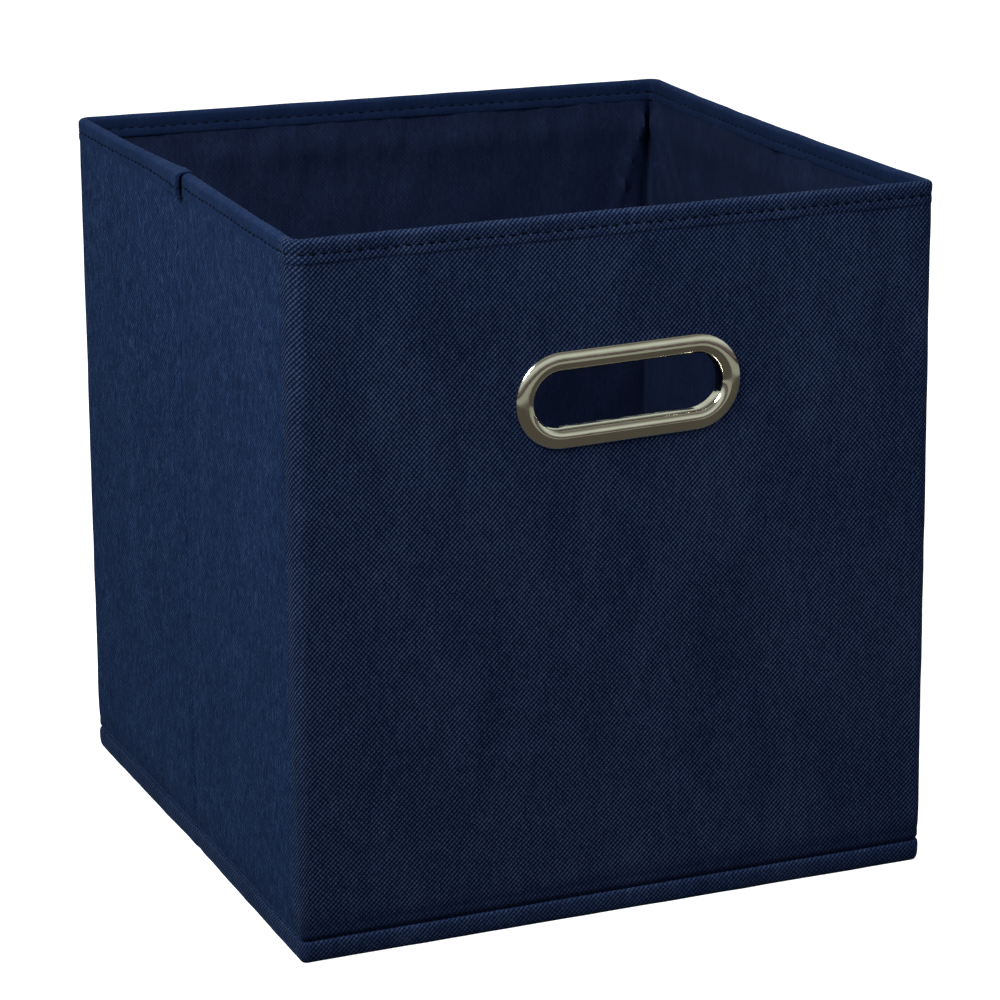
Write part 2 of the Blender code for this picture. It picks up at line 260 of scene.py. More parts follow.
def new_mesh_object(name, points, faces, uvs=None, smooth=50, wrap=None):
    """uvs are per vertex. wrap = (channel, period) mends the faces that cross the UV's seam."""
    mesh = bpy.data.meshes.new(name)
    mesh.from_pydata([tuple(p) for p in points], [], [tuple(f) for f in faces])
    if uvs is not None:
        layer = mesh.uv_layers.new(name="cloth")
        loops = np.empty(len(mesh.loops), np.int32)
        mesh.loops.foreach_get("vertex_index", loops)
        corner_uvs = np.asarray(uvs, np.float32)[loops]
        if wrap is not None:
            channel, period = wrap
            for face in mesh.polygons:
                part = corner_uvs[face.loop_start : face.loop_start + face.loop_total, channel]
                part[part < part.max() - period / 2] += period
        layer.data.foreach_set("uv", corner_uvs.ravel())
    mesh.shade_smooth()
    mesh.set_sharp_from_angle(angle=math.radians(smooth))
    mesh.validate()
    made = bpy.data.objects.new(name, mesh)
    bpy.context.scene.collection.objects.link(made)
    return made


def loft_faces(rows, count, closed=False):
    """Quads between rings of count points. closed also joins the last ring to the first."""
    faces = []
    for i in range(rows if closed else rows - 1):
        k = (i + 1) % rows
        for j in range(count):
            m = (j + 1) % count
            faces.append((i * count + j, i * count + m, k * count + m, k * count + j))
    return faces


def end_caps(rows, count):
    return [tuple(range(count))[::-1], tuple((rows - 1) * count + j for j in range(count))]


def path_length(path):
    return np.concatenate([[0], np.cumsum([math.dist(a, b) for a, b in zip(path, path[1:])])])


def skin(name, columns, outer, inner, relief=None, rise=None, keep=None, snap=None):
    """A thin closed piece swept along the columns.

    outer and inner are matching (z, depth) paths in mm. relief(s, z, depth) adds to the depth and
    rise(s, z, depth) to the height. keep says which cells stay, and snap smooths the edge it leaves.
    """
    s = perimeters(columns)
    rows = len(outer)
    grids = []
    for path in (outer, inner):
        z = np.array([p[0] for p in path], float)
        depth = np.repeat(np.array([p[1] for p in path], float)[:, None], len(s), 1)
        if relief is not None:
            depth = depth + relief(s[None, :], z[:, None], depth)
        grid = plan(columns, z, depth)
        if rise is not None:
            grid[..., 2] += rise(s[None, :], z[:, None], np.array([p[1] for p in path])[:, None])
        grids.append(grid)
    is_wall = abs(outer[-1][0] - outer[0][0]) > 100
    flat_v = np.array([p[0] for p in outer]) if is_wall else path_length(outer)
    uv = np.stack(np.broadcast_arrays(s[None, :] * MM, flat_v[:, None] * MM), -1).reshape(-1, 2)
    points = np.concatenate([g.reshape(-1, 3) for g in grids])
    uvs = np.concatenate([uv, uv])
    count = len(s)
    cell = np.ones((rows - 1, count - 1), bool)
    if keep is not None:
        middle = (grids[0][:-1, :-1] + grids[0][1:, 1:]) / 2
        cell = keep(middle)
    if snap is not None:
        points = snap(points, cell, rows, count)
    near = np.arange(rows * count).reshape(rows, count)
    far = near + rows * count
    faces = []
    for i, j in zip(*np.nonzero(cell)):
        faces.append((near[i, j], near[i, j + 1], near[i + 1, j + 1], near[i + 1, j]))
        faces.append((far[i, j], far[i + 1, j], far[i + 1, j + 1], far[i, j + 1]))
        if i == 0 or not cell[i - 1, j]:
            faces.append((far[i, j], far[i, j + 1], near[i, j + 1], near[i, j]))
        if i == rows - 2 or not cell[i + 1, j]:
            faces.append((near[i + 1, j], near[i + 1, j + 1], far[i + 1, j + 1], far[i + 1, j]))
        if j == 0 or not cell[i, j - 1]:
            faces.append((near[i, j], near[i + 1, j], far[i + 1, j], far[i, j]))
        if j == count - 2 or not cell[i, j + 1]:
            faces.append((far[i, j + 1], far[i + 1, j + 1], near[i + 1, j + 1], near[i, j + 1]))
    faces = np.array(faces)
    used = np.unique(faces)
    lookup = np.full(len(points), -1)
    lookup[used] = np.arange(len(used))
    return new_mesh_object(name, points[used] * MM, lookup[faces], uvs[used])


# ---- handle hole

RING_X, RING_Z, RING_TILT = 2.1, 210.3, math.radians(1.4)
HOLE_HALF_RUN, HOLE_RADIUS = 28.0, 11.0
HOLE_CELLS, HOLE_CUT = 2.4, 2.2  # cells nearer to the hole's edge go, and the cut edge lies here
BACK_RING_DEPTH, BACK_RING_PLAY = 3.9, 0.95  # behind the wall's face and round the barrel, in mm


def ring_frame(x, z):
    """Distances along and across the tilted handle from its middle, in mm."""
    c, s = math.cos(RING_TILT), math.sin(RING_TILT)
    dx, dz = x - RING_X, z - RING_Z
    return dx * c + dz * s, -dx * s + dz * c


def hole_distance(x, z):
    """Distance outside the handle hole's edge, in mm."""
    along, up = ring_frame(x, z)
    return np.hypot(np.maximum(np.abs(along) - HOLE_HALF_RUN, 0), up) - HOLE_RADIUS


def hole_keep(middle):
    return hole_distance(middle[..., 0], middle[..., 2]) > HOLE_CELLS


def hole_snap(points, cell, rows, count):
    """Moves the vertices on the hole's stepped edge onto a smooth oval."""
    touched = np.zeros((rows, count, 2), bool)
    for di in (0, 1):
        for dj in (0, 1):
            touched[di : rows - 1 + di, dj : count - 1 + dj, 0] |= cell
            touched[di : rows - 1 + di, dj : count - 1 + dj, 1] |= ~cell
    edge = np.tile((touched[..., 0] & touched[..., 1]).ravel(), 2)
    p = points[edge]
    along, up = ring_frame(p[:, 0], p[:, 2])
    base = np.clip(along, -HOLE_HALF_RUN, HOLE_HALF_RUN)
    out = np.stack([along - base, up], 1)
    out *= (HOLE_RADIUS + HOLE_CUT) / np.linalg.norm(out, axis=1, keepdims=True)
    along, up = base + out[:, 0], out[:, 1]
    c, s = math.cos(RING_TILT), math.sin(RING_TILT)
    p[:, 0] = RING_X + along * c - up * s
    p[:, 2] = RING_Z + along * s + up * c
    points[edge] = p
    return points


# ---- how the walls are cut up

RUN = CORNER_RUN / WALL_RUN
HALF = BEND / WALL_RUN
STEP = 2.8  # spacing of the mesh on a flat wall, in mm


def corner_columns(corner):
    before = (corner - 1) % 4
    return joined(
        wall_columns(before, 1 - RUN, 1.0, 1.5),
        arc_columns(corner),
        wall_columns(corner, 0.0, RUN, 1.5),
    )


# Rigid stretches of wall: name, columns. Each rides on the body of its name.
PANELS = {
    "front": wall_columns(0, RUN, 1 - RUN, STEP),
    "right_front": wall_columns(1, RUN, 0.5 - HALF, STEP),
    "right_rear": joined(wall_columns(1, 0.5 + HALF, 1.0, STEP), arc_columns(2, 0.0, 0.5, 7)),
    "back": joined(arc_columns(2, 0.5, 1.0, 7), wall_columns(2, 0.0, 1 - RUN, STEP)),
    "left_rear": wall_columns(3, RUN, 0.5 - HALF, STEP),
    "left_front": wall_columns(3, 0.5 + HALF, 1 - RUN, STEP),
}

# Fabric at a joint: its columns, and the bodies that meet there at its first and last column
BENDS = {
    "front_left_corner": (corner_columns(0), "left_front", "front"),
    "front_right_corner": (corner_columns(1), "front", "right_front"),
    "back_left_corner": (corner_columns(3), "back", "left_rear"),
    "left_crease": (wall_columns(3, 0.5 - HALF, 0.5 + HALF, 1.0), "left_rear", "left_front"),
    "right_crease": (wall_columns(1, 0.5 - HALF, 0.5 + HALF, 1.0), "right_front", "right_rear"),
}


def attach(made, place):
    """Rides on a body. A piece at a bend rides on neither body: its transform is baked into its mesh."""
    if place not in BENDS:
        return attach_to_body(made, place)
    columns, a, b = BENDS[place]
    first, last = plan([columns[0], columns[-1]], [MID_HEIGHT], [HEM_INNER])[0] * MM
    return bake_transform(made)


def dress(made, material, place, slot, *nodes):
    """Gives a piece its material, attaches it and hides the CAD nodes it stands for. slot is not used."""
    paint(made, material)
    attach(made, place)
    if nodes:
        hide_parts(*nodes)


STRETCHES = {**PANELS, **{place: bend[0] for place, bend in BENDS.items()}}


def flat_size(columns, height, depth):
    """Width and height of a stretch of cloth cut flat, in m."""
    edge = plan(columns, [MID_HEIGHT], [depth])[0]
    return float(np.linalg.norm(np.diff(edge[:, :2], axis=0), axis=1).sum()) * MM, height * MM


# ---- cloth on the walls


def near(value, centre, width):
    return np.exp(-(((value - centre) / width) ** 2))


def round_handle(s, z):
    """1 at the handle and 0 away from it: the rings clamp the fabric flat."""
    return near(s, WALL_RUN / 2 + RING_X, 56.0) * near(z, RING_Z, 27.0)


def outer_relief(s, z, depth):
    """The outer fabric lies on its board and lifts off it a little, never into it."""
    lift = 0.22 + 0.16 * ripple(SOFT_LARGE, s, z) + 0.07 * ripple(SOFT_SMALL, s, z)
    lift += 0.03 * ripple(SOFT_FINE, s, z)
    tight = 1 - near(z, 279.0, 14.0) - near(z, 6.0, 12.0) - round_handle(s, z)
    tucked = np.clip((SEAM_TOP - z) / 2.6, 0, 1)
    seam = 1.0 * tucked**2 * (3 - 2 * tucked) + 0.14 * near(z, 13.4, 1.2)
    return seam - np.clip(lift, 0, 0.8) * np.clip(tight, 0.05, 1)


def lining_relief(s, z, depth):
    """The lining hangs looser than the outer fabric, most of all on the walls near the rim."""
    slack = 0.6 + 0.5 * ripple(LINING_LARGE, s, z) + 0.25 * ripple(LINING_SMALL, s, z)
    gathers = 0.5 * ripple(LINING_FINE, s, z) * near(z, 262.0, 26.0)
    held = 1 - near(z, 279.0, 9.0) - near(z, 6.0, 10.0) - round_handle(s, z)
    corner = np.abs((s + ARC_MIDDLE + SIDE_RUN / 2) % SIDE_RUN - SIDE_RUN / 2)
    crease = (s - WALL_RUN / 2) % (2 * SIDE_RUN) - SIDE_RUN
    held = held - 0.9 * near(corner, 0.0, 7.0) - 0.9 * near(crease, 0.0, 8.0)
    loose = np.clip(slack + gathers, 0, 2.4) * np.clip(held, 0.05, 1)
    loose = loose + 0.9 * near(z, 259.0, 6.5) * np.clip(held, 0.05, 1)
    return loose + pleats(s, z) - CREASE_DIP * near(crease, 0.0, 4.5)


def pleats(s, z):
    """Folds of spare lining that fan out downwards from the top of the rear right corner."""
    found = 0.0
    down = 273.0 - z
    for turned in (-1.0, 1.0):
        past = turned * (s - (2 * SIDE_RUN - ARC_MIDDLE)) - 1.0
        for lean, depth in PLEAT_SLOPES if turned < 0 else PLEAT_SLOPES[:2]:
            off = past - 4.0 - lean * np.maximum(down, 0)
            fold = near(off, 0.0, 1.5 + 0.014 * np.maximum(down, 0))
            found = found + depth * fold * np.clip(down / 12, 0, 1) * near(down, 20.0, 46.0)
    return found


def stitch_dip(z):
    return 0.28 * near(z, RIM - STITCH_DROP, 0.75)


def hem_relief(s, z, depth):
    wobble = 0.10 * ripple(HEM_WAVE, s, z) + 0.07 * ripple(SOFT_SMALL, s, z)
    side = np.where(depth < 1.7, 1.0, -1.0)
    return wobble + side * stitch_dip(z)


def hem_rise(s, z, depth):
    return 0.06 * ripple(SOFT_SMALL, s, 0.0 * z) * np.clip((z - 274) / 5, 0, 1)


def lap(s):
    """How far the binding's end stands off the layer under it: 1 at its open end, fading rearwards."""
    y = WALL_LENGTH / 2 - (s - 3 * SIDE_RUN) * WALL_LENGTH / WALL_RUN
    share = np.clip((LAP_FADE - y) / (LAP_FADE - LAP_END), 0, 1)
    lip = np.clip((y - LAP_END) / 1.6, 0, 1)
    return np.where(y >= LAP_END - 0.01, share**1.8 * (0.86 + 0.14 * lip), 0.0)


def lapped_relief(s, z, depth):
    belly = 0.75 + 0.25 * near(z, 275.5, 2.6)
    outwards = LAP_OUT * belly * np.clip((1.9 - depth) / 1.9, 0, 1)
    inwards = LAP_IN * np.clip((depth - 1.9) / 1.9, 0, 1)
    return hem_relief(s, z, depth) + lap(s) * (inwards - outwards)


def lapped_rise(s, z, depth):
    return hem_rise(s, z, depth) + LAP_UP * lap(s) * np.clip((z - 274) / 5, 0, 1)


def hem_path(inset):
    """The binding's cross-section, from its outer lower edge over the rim to its inner lower edge."""
    out, back = -HEM_OUT + inset, HEM_INNER - inset
    rise = 1.8 - 0.75 * inset
    half = (back - out) / 2
    turn = []
    for t in np.linspace(0, math.pi, 13):
        turn.append((HEM_TOP + rise * math.sin(t), out + half * (1 - math.cos(t))))
    edge = [(HEM_BOTTOM, 0.35), (HEM_BOTTOM + 0.35, 0.1), (HEM_BOTTOM + 1.0, 0.0)]
    edge += [(z, 0.0) for z in (272.6, 273.4, 274.0, 274.6, 275.2, 276.0, 277.2)]
    up = [(z, out + curl) for z, curl in edge]
    down = [(z, back - curl) for z, curl in edge]
    return up + turn + down[::-1]


def heights(*stops):
    """Row heights that run evenly between stops of (height, step up to the next stop)."""
    rows = []
    for (low, step), (high, _) in zip(stops, stops[1:]):
        count = max(1, round((high - low) / step))
        rows += [low + (high - low) * k / count for k in range(count)]
    return rows + [stops[-1][0]]


OUTER_ROWS = heights((6.4, 0.5), (15.0, 1.6), (21.0, STEP), (278.4, 0))
LINING_ROWS = heights((6.9, STEP), (240.0, 2.0), (278.4, 0))


def build_cloth(looks):
    """Outer fabric, boards, lining and binding of every stretch of wall."""
    for place, columns in STRETCHES.items():
        hole = {"keep": hole_keep, "snap": hole_snap} if place == "front" else {}
        build_fabric(looks, place, columns, "outer_fabric", OUTER_ROWS, outer_relief, hole)
        build_fabric(looks, place, columns, "lining", LINING_ROWS, lining_relief, hole)
        if place in PANELS:
            build_board(looks, place, columns, hole)
        build_binding(looks, place, columns)


def layer_skin(name, columns, layer, rows, hole, relief=None):
    outer, inner = [[(z, depth) for z in rows] for depth in LAYERS[layer]]
    return skin(name, columns, outer, inner, relief, **hole)


def build_fabric(looks, place, columns, layer, rows, relief, hole):
    made = layer_skin(f"{place}_{layer}_cloth", columns, layer, rows, hole, relief)
    nodes = [f"{place}_{layer}"] if place in PANELS else []
    dress(made, look_of(looks, layer, place), place, layer, *nodes)
    flat_size(columns, rows[-1] - rows[0], LAYERS[layer][0])


def build_board(looks, place, columns, hole):
    """The stiff board of a wall, on the straight columns of its stretch."""
    rows = heights((BOARD_FOOT, STEP if hole else STEP * 2), (BOARD_TOP, 0))
    flat_columns = [c for c in columns if c[0] == 0]
    made = layer_skin(f"{place}_stiffener", flat_columns, "board", rows, hole)
    dress(made, looks["chipboard"], place, "chipboard", f"{place}_board")


def look_of(looks, slot, place):
    """The embossing is sharp on the front wall and its corners, and worn flatter elsewhere, with painted
    sheen.
    """
    if slot == "lining" or place == "front" or place.startswith("front_"):
        return looks[slot]
    return looks[slot + "_rubbed"]


def build_binding(looks, place, columns):
    """The folded strip over the rim. On the left wall its end laps over its start."""
    nodes = [f"{place}_hem"] if place in PANELS else []
    pieces = [(f"{place}_binding", columns, lapped_relief, lapped_rise, nodes)]
    if place == "left_crease":
        over = wall_columns(3, 0.5 - HALF, LAP_WALL_END, 0.7)
        under = wall_columns(3, LAP_WALL_END - 0.05, 0.5 + HALF, 1.0)
        pieces = [
            ("left_crease_binding_end", over, lapped_relief, lapped_rise, ["left_hem_overlap"]),
            ("left_crease_binding_start", under, hem_relief, hem_rise, []),
        ]
    for name, stretch, relief, rise, nodes in pieces:
        made = skin(name, stretch, hem_path(0.0), hem_path(HEM_THICK), relief, rise)
        dress(made, look_of(looks, "hem", place), place, "hem", *nodes)
        width, _ = flat_size(stretch, 1.0, 1.0)


# ---- stitches


def capsule(length, thick, rings=6, around=8):
    """One stitch of thread along x, bedded at its ends, as points, UVs and faces."""
    points, uvs = [], []
    for i in range(rings + 1):
        t = i / rings
        x = (t - 0.5) * length
        r = thick * math.sqrt(max(0.0, 1 - (2 * t - 1) ** 4)) + 0.02
        dip = -0.25 * (2 * t - 1) ** 4
        for j in range(around):
            a = 2 * math.pi * j / around
            points.append((x, dip + r * math.cos(a), r * math.sin(a)))
            uvs.append((x * MM, j / around))
    return np.array(points), uvs, loft_faces(rings + 1, around) + end_caps(rings + 1, around)


def sampled_line(columns, z, depth):
    """Points of one horizontal line on the walls and their distances round the bin."""
    s = perimeters(columns)
    depths = depth + lapped_relief(s, np.full(len(s), z), np.full(len(s), depth))
    points = plan(columns, [z], depths[None, :])[0]
    run = np.concatenate([[0], np.cumsum(np.linalg.norm(np.diff(points, axis=0), axis=1))])
    return points, run, s


def stitch_points(shape, line, run, at, outward_sign, proud, jitter):
    """The stitch's points, at the distance at along the line and turned to follow it."""
    a, b = [
        np.array([np.interp(end, run, line[:, i]) for i in range(3)])
        for end in (at - STITCH_LENGTH / 2, at + STITCH_LENGTH / 2)
    ]
    along = (b - a) / (np.linalg.norm(b - a) + 1e-9)
    outward = np.array([along[1], -along[0], 0.0]) * outward_sign
    outward /= np.linalg.norm(outward)
    up = np.cross(along, outward)
    spin = jitter[2] * 0.35
    turned = along * math.cos(spin) + up * math.sin(spin)
    centre = (a + b) / 2 + outward * proud + up * jitter[1]
    over = np.cross(turned, outward)
    return centre + shape[:, :1] * turned + shape[:, 1:2] * outward + shape[:, 2:] * over


def build_stitches(looks):
    """Two rows of lockstitch, outside and inside the rim, in one piece for each stretch."""
    shape, shape_uvs, quads = capsule(STITCH_LENGTH, THREAD_RADIUS)
    rng = np.random.RandomState(21)
    for place, columns in STRETCHES.items():
        points, uvs, faces = [], [], []
        for depth, sign, proud in ((-HEM_OUT, 1.0, THREAD_PROUD), (HEM_INNER, -1.0, THREAD_SUNK)):
            line, run, s = sampled_line(columns, RIM - STITCH_DROP, depth)
            first = math.ceil(s[0] / STITCH_PITCH - 0.5)
            last = math.ceil(s[-1] / STITCH_PITCH - 0.5)
            for n in range(first, last):
                jitter = rng.uniform(-0.25, 0.25, 3)
                at = np.interp((n + 0.5) * STITCH_PITCH + jitter[0], s, run)
                base = len(points)
                points.extend(stitch_points(shape, line, run, at, sign, proud, jitter))
                uvs.extend(shape_uvs)
                faces.extend(tuple(base + i for i in q) for q in quads)
        made = new_mesh_object(f"{place}_stitches", np.array(points) * MM, faces, uvs, 80, wrap=(1, 1.0))
        dress(made, looks["thread"], place, "hem")


# ---- foot of the bin


def all_round():
    """Columns once round the bin, starting at the front left corner."""
    parts = []
    for k in range(4):
        parts += [arc_columns(k, 0, 1, 9), wall_columns(k, 0, 1, STEP)]
    return joined(*parts)[:-1]


def ring_skin(name, columns, path, relief):
    """A closed tube swept all the way round the bin. path is a closed cross-section of (z, depth)."""
    s = perimeters(columns)
    z = np.array([p[0] for p in path], float)
    depth = np.repeat(np.array([p[1] for p in path], float)[:, None], len(s), 1)
    depth = depth + relief(s[None, :], z[:, None], depth)
    grid = plan(columns, z, depth)
    length = path_length(path)
    uv = np.stack(np.broadcast_arrays(s[None, :] * MM, length[:, None] * MM), -1).reshape(-1, 2)
    faces = loft_faces(len(z), len(s), closed=True)
    return new_mesh_object(name, grid.reshape(-1, 3) * MM, faces, uv, smooth=70, wrap=(0, ROUND * MM))


def welt_path():
    """The welt's cross-section: a flat band with a rounded top, tucked in against the wall."""
    outer = [(0.15, 0.75), (0.6, 0.3), (1.4, -0.05), (2.6, -0.3), (4.2, -0.45), (5.8, -0.5), (7.2, -0.45)]
    top = [(8.1, -0.25), (8.6, 0.1), (8.7, 0.4), (8.4, 0.7)]
    inner = [(7.4, 0.75), (6.0, 0.8), (4.0, 0.85), (2.0, 0.95), (0.6, 1.1), (0.15, 1.1)]
    return outer + top + inner


def welt_relief(s, z, depth):
    return 0.12 * ripple(HEM_WAVE, s, z * 0.5) + 0.08 * ripple(SOFT_SMALL, s, z)


def fold_forwards(made):
    """Gives the piece a copy of its mesh of its own."""
    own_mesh(made)


def build_foot(looks):
    """The welt all round the walls' foot, and the bottom sheet whose edge is caught in it."""
    columns = all_round()
    made = ring_skin("foot_welt", columns, welt_path(), welt_relief)
    sides = ("welt_front", "welt_back", "welt_left", "welt_right")
    dress(made, looks["welt"], "front", "welt", *sides)
    fold_forwards(made)

    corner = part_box("bottom_fabric")[1]
    outline = plan(columns, [0.0], [BOTTOM_TUCK])[0, :, :2]
    made = pillow_sheet("bottom_sheet", outline, 0.12, corner.z / MM, bottom_wave)
    dress(made, looks["bottom_fabric"], "front", "bottom_fabric", "bottom_fabric")
    fold_forwards(made)


def bottom_wave(x, y, high):
    return 0.06 * ripple(SOFT_SMALL, x, y) * high


def rounded_outline(half_x, half_y, radius, arc_steps, side_steps):
    """A rectangle with rounded corners, counter-clockwise from the right end of its front."""
    points = []
    for k in range(4):
        cx = (half_x - radius) * (1, 1, -1, -1)[k]
        cy = (half_y - radius) * (-1, 1, 1, -1)[k]
        start = -math.pi / 2 + k * math.pi / 2
        for t in np.linspace(0, 1, arc_steps):
            a = start + t * math.pi / 2
            points.append((cx + radius * math.cos(a), cy + radius * math.sin(a)))
    out = []
    for a, b in zip(points, points[1:] + points[:1]):
        steps = side_steps if math.dist(a, b) > 20 else 1
        for t in range(steps):
            out.append((a[0] + (b[0] - a[0]) * t / steps, a[1] + (b[1] - a[1]) * t / steps))
    return np.array(out)


def pillow_sheet(name, outline, low, high, wave, edge=0.0):
    """A closed slab between two heights, of rings that shrink to the middle on both faces.

    wave(x, y, high) adds to a face's height (high is 1 on top). edge is how far its side bulges.
    """
    half_x = outline[:, 0].max()
    count = len(outline)
    shares = [1.0, 0.996, 0.985, 0.965, 0.93, *np.linspace(0.9, 0.03, 34)]
    points, uvs = [], []
    half = (high - low) / 2
    profile = [(share, -1) for share in shares[::-1]]
    for t in np.linspace(-0.8, 0.8, 5):
        profile.append((1.0 + edge * math.cos(t * math.pi / 2) / half_x, t))
    profile += [(share, 1) for share in shares]
    for share, side in profile:
        ring = outline * share
        if abs(side) < 1:
            z = (high + low) / 2 + half * math.sin(side * math.pi / 2) * np.ones(count)
        else:
            z = (high + low) / 2 + side * half + wave(ring[:, 0], ring[:, 1], 1.0 if side > 0 else 0.0)
        points += [(x, y, h) for (x, y), h in zip(ring, z)]
        uvs += [(x * MM, y * MM) for x, y in ring]
    faces = loft_faces(len(profile), count) + end_caps(len(profile), count)
    return new_mesh_object(name, np.array(points) * MM, faces, np.array(uvs), smooth=60)


INSERT_EDGE = 1.2  # how far the insert's soft side bulges, in mm


def insert_wave(x, y, high):
    return (0.18 * ripple(SOFT_LARGE, x, y) + 0.1 * ripple(SOFT_SMALL, x, y)) * high


def build_insert(looks):
    """The loose bottom board: a stiff board wrapped in fabric, with a softly rounded edge."""
    low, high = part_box("insert_cover_bottom")[0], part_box("insert_cover_top")[1]
    half_x = high.x / MM - INSERT_EDGE - 0.1
    half_y = high.y / MM - INSERT_EDGE - 0.1
    outline = rounded_outline(half_x, half_y, 4.0, 6, int(2 * half_x / 4.0))
    top = high.z / MM - 0.3
    made = pillow_sheet("insert_wrap", outline, low.z / MM, top, insert_wave, edge=INSERT_EDGE)
    nodes = ("insert_cover_top", "insert_cover_bottom", "insert_board")
    dress(made, looks["insert_cover"], "insert", "insert_cover", *nodes)


# ---- chrome handle


def stadium(run, radius, count=104):
    """Points and outward directions of an oval with straight sides, evenly spaced."""
    half_round = 2 * run + math.pi * radius  # one straight side and one end
    points, normals = [], []
    for i in range(count):
        half, along = divmod(2 * half_round * i / count, half_round)
        side = -1 if half else 1
        a = max(along - 2 * run, 0.0) / radius
        normal = (side * math.sin(a), -side * math.cos(a))
        middle = side * (min(along, 2 * run) - run)
        points.append((middle + radius * normal[0], radius * normal[1]))
        normals.append(normal)
    return np.array(points), np.array(normals)


def oval_ring(name, profile, base, across, up, out):
    """A ring of closed cross-section (offset from the hole's edge, height off the wall), in mm."""
    points, normals = stadium(HOLE_HALF_RUN, HOLE_RADIUS)
    verts = []
    for offset, height in profile:
        ring = points + normals * offset
        verts += [base + across * p[0] + up * p[1] + out * height for p in ring]
    faces = loft_faces(len(profile), len(points), closed=True)
    return new_mesh_object(name, np.array(verts) * MM, faces, smooth=40)


def flange(border, crown, barrel, depth, base):
    """A pressed ring's section, (offset from the hole's edge, height): a dome that rolls inwards."""
    shoulder, roll = border * 0.56, border * 0.44
    outside = [(border, base)]
    for t in np.linspace(0.12, 1.0, 9) * math.pi / 2:
        height = base + (crown - base) * math.sin(t) ** 0.92
        outside.append((border - shoulder + shoulder * math.cos(t), height))
    inside = []
    for t in np.linspace(0.0, 1.0, 10) * math.pi / 2:
        inside.append((roll - roll * math.sin(t), crown - (crown + 0.9) * (1 - math.cos(t))))
    walls = [(0.0, -depth * t) for t in (0.4, 0.7, 0.97)] + [(0.12, -depth)]
    behind = [(barrel, -depth), (barrel, -0.9), (barrel + 0.5, base), (border * 0.6, base)]
    return outside + inside + walls + behind


def handle_axes():
    """The handle's middle on the front wall, and its directions across, up and out of the wall."""
    spot = plan([(0, 0, 0.5)], [RING_Z - 1.0, RING_Z + 1.0], [0.0, 0.0])[:, 0]
    side = plan([(0, 0, 0.4), (0, 0, 0.6)], [RING_Z], [0.0])[0]
    across = side[1] - side[0]
    across /= np.linalg.norm(across)
    rise = spot[1] - spot[0]
    out = np.cross(across, rise / np.linalg.norm(rise))
    up = np.cross(out, across)
    across, up = (
        across * math.cos(RING_TILT) + up * math.sin(RING_TILT),
        up * math.cos(RING_TILT) - across * math.sin(RING_TILT),
    )
    middle = spot.mean(0)
    base = middle + across * ((RING_X - middle[0]) / across[0])
    base[2] = RING_Z
    return base, across, up, out


def build_handle(looks):
    """The domed ring in the front wall, and the flatter ring that clamps it from inside."""
    base, across, up, out = handle_axes()
    front = flange(border=8.0, crown=2.3, barrel=0.9, depth=5.4, base=0.1)
    back = flange(border=6.6, crown=1.3, barrel=0.7, depth=1.6, base=0.1)
    back = [(offset + BACK_RING_PLAY, height) for offset, height in back]
    inner = base - out * BACK_RING_DEPTH
    made = oval_ring("handle_front_ring", front, base, across, up, out)
    dress(made, looks["chrome"], "front", "chrome", "handle_ring")
    made = oval_ring("handle_inner_ring", back, inner, -across, up, -out)
    dress(made, looks["chrome"], "front", "chrome", "handle_back_ring")


# ---- materials


class Nodes:
    """A node tree with short ways to add and join its nodes."""

    def __init__(self, tree):
        self.tree = tree
        tree.nodes.clear()

    def add(self, kind, **settings):
        node = self.tree.nodes.new(kind)
        for key, value in settings.items():
            setattr(node, key, value)
        return node

    def join(self, source, target):
        self.tree.links.new(source, target)

    def feed(self, node, values):
        for key, value in values.items():
            if isinstance(value, bpy.types.NodeSocket):
                self.join(value, node.inputs[key])
            else:
                node.inputs[key].default_value = value

    def split(self, vector):
        node = self.add("ShaderNodeSeparateXYZ")
        self.join(vector, node.inputs[0])
        return node.outputs

    def mix_shader(self, share, a, b):
        node = self.add("ShaderNodeMixShader")
        self.feed(node, {0: share, 1: a, 2: b})
        return node.outputs[0]


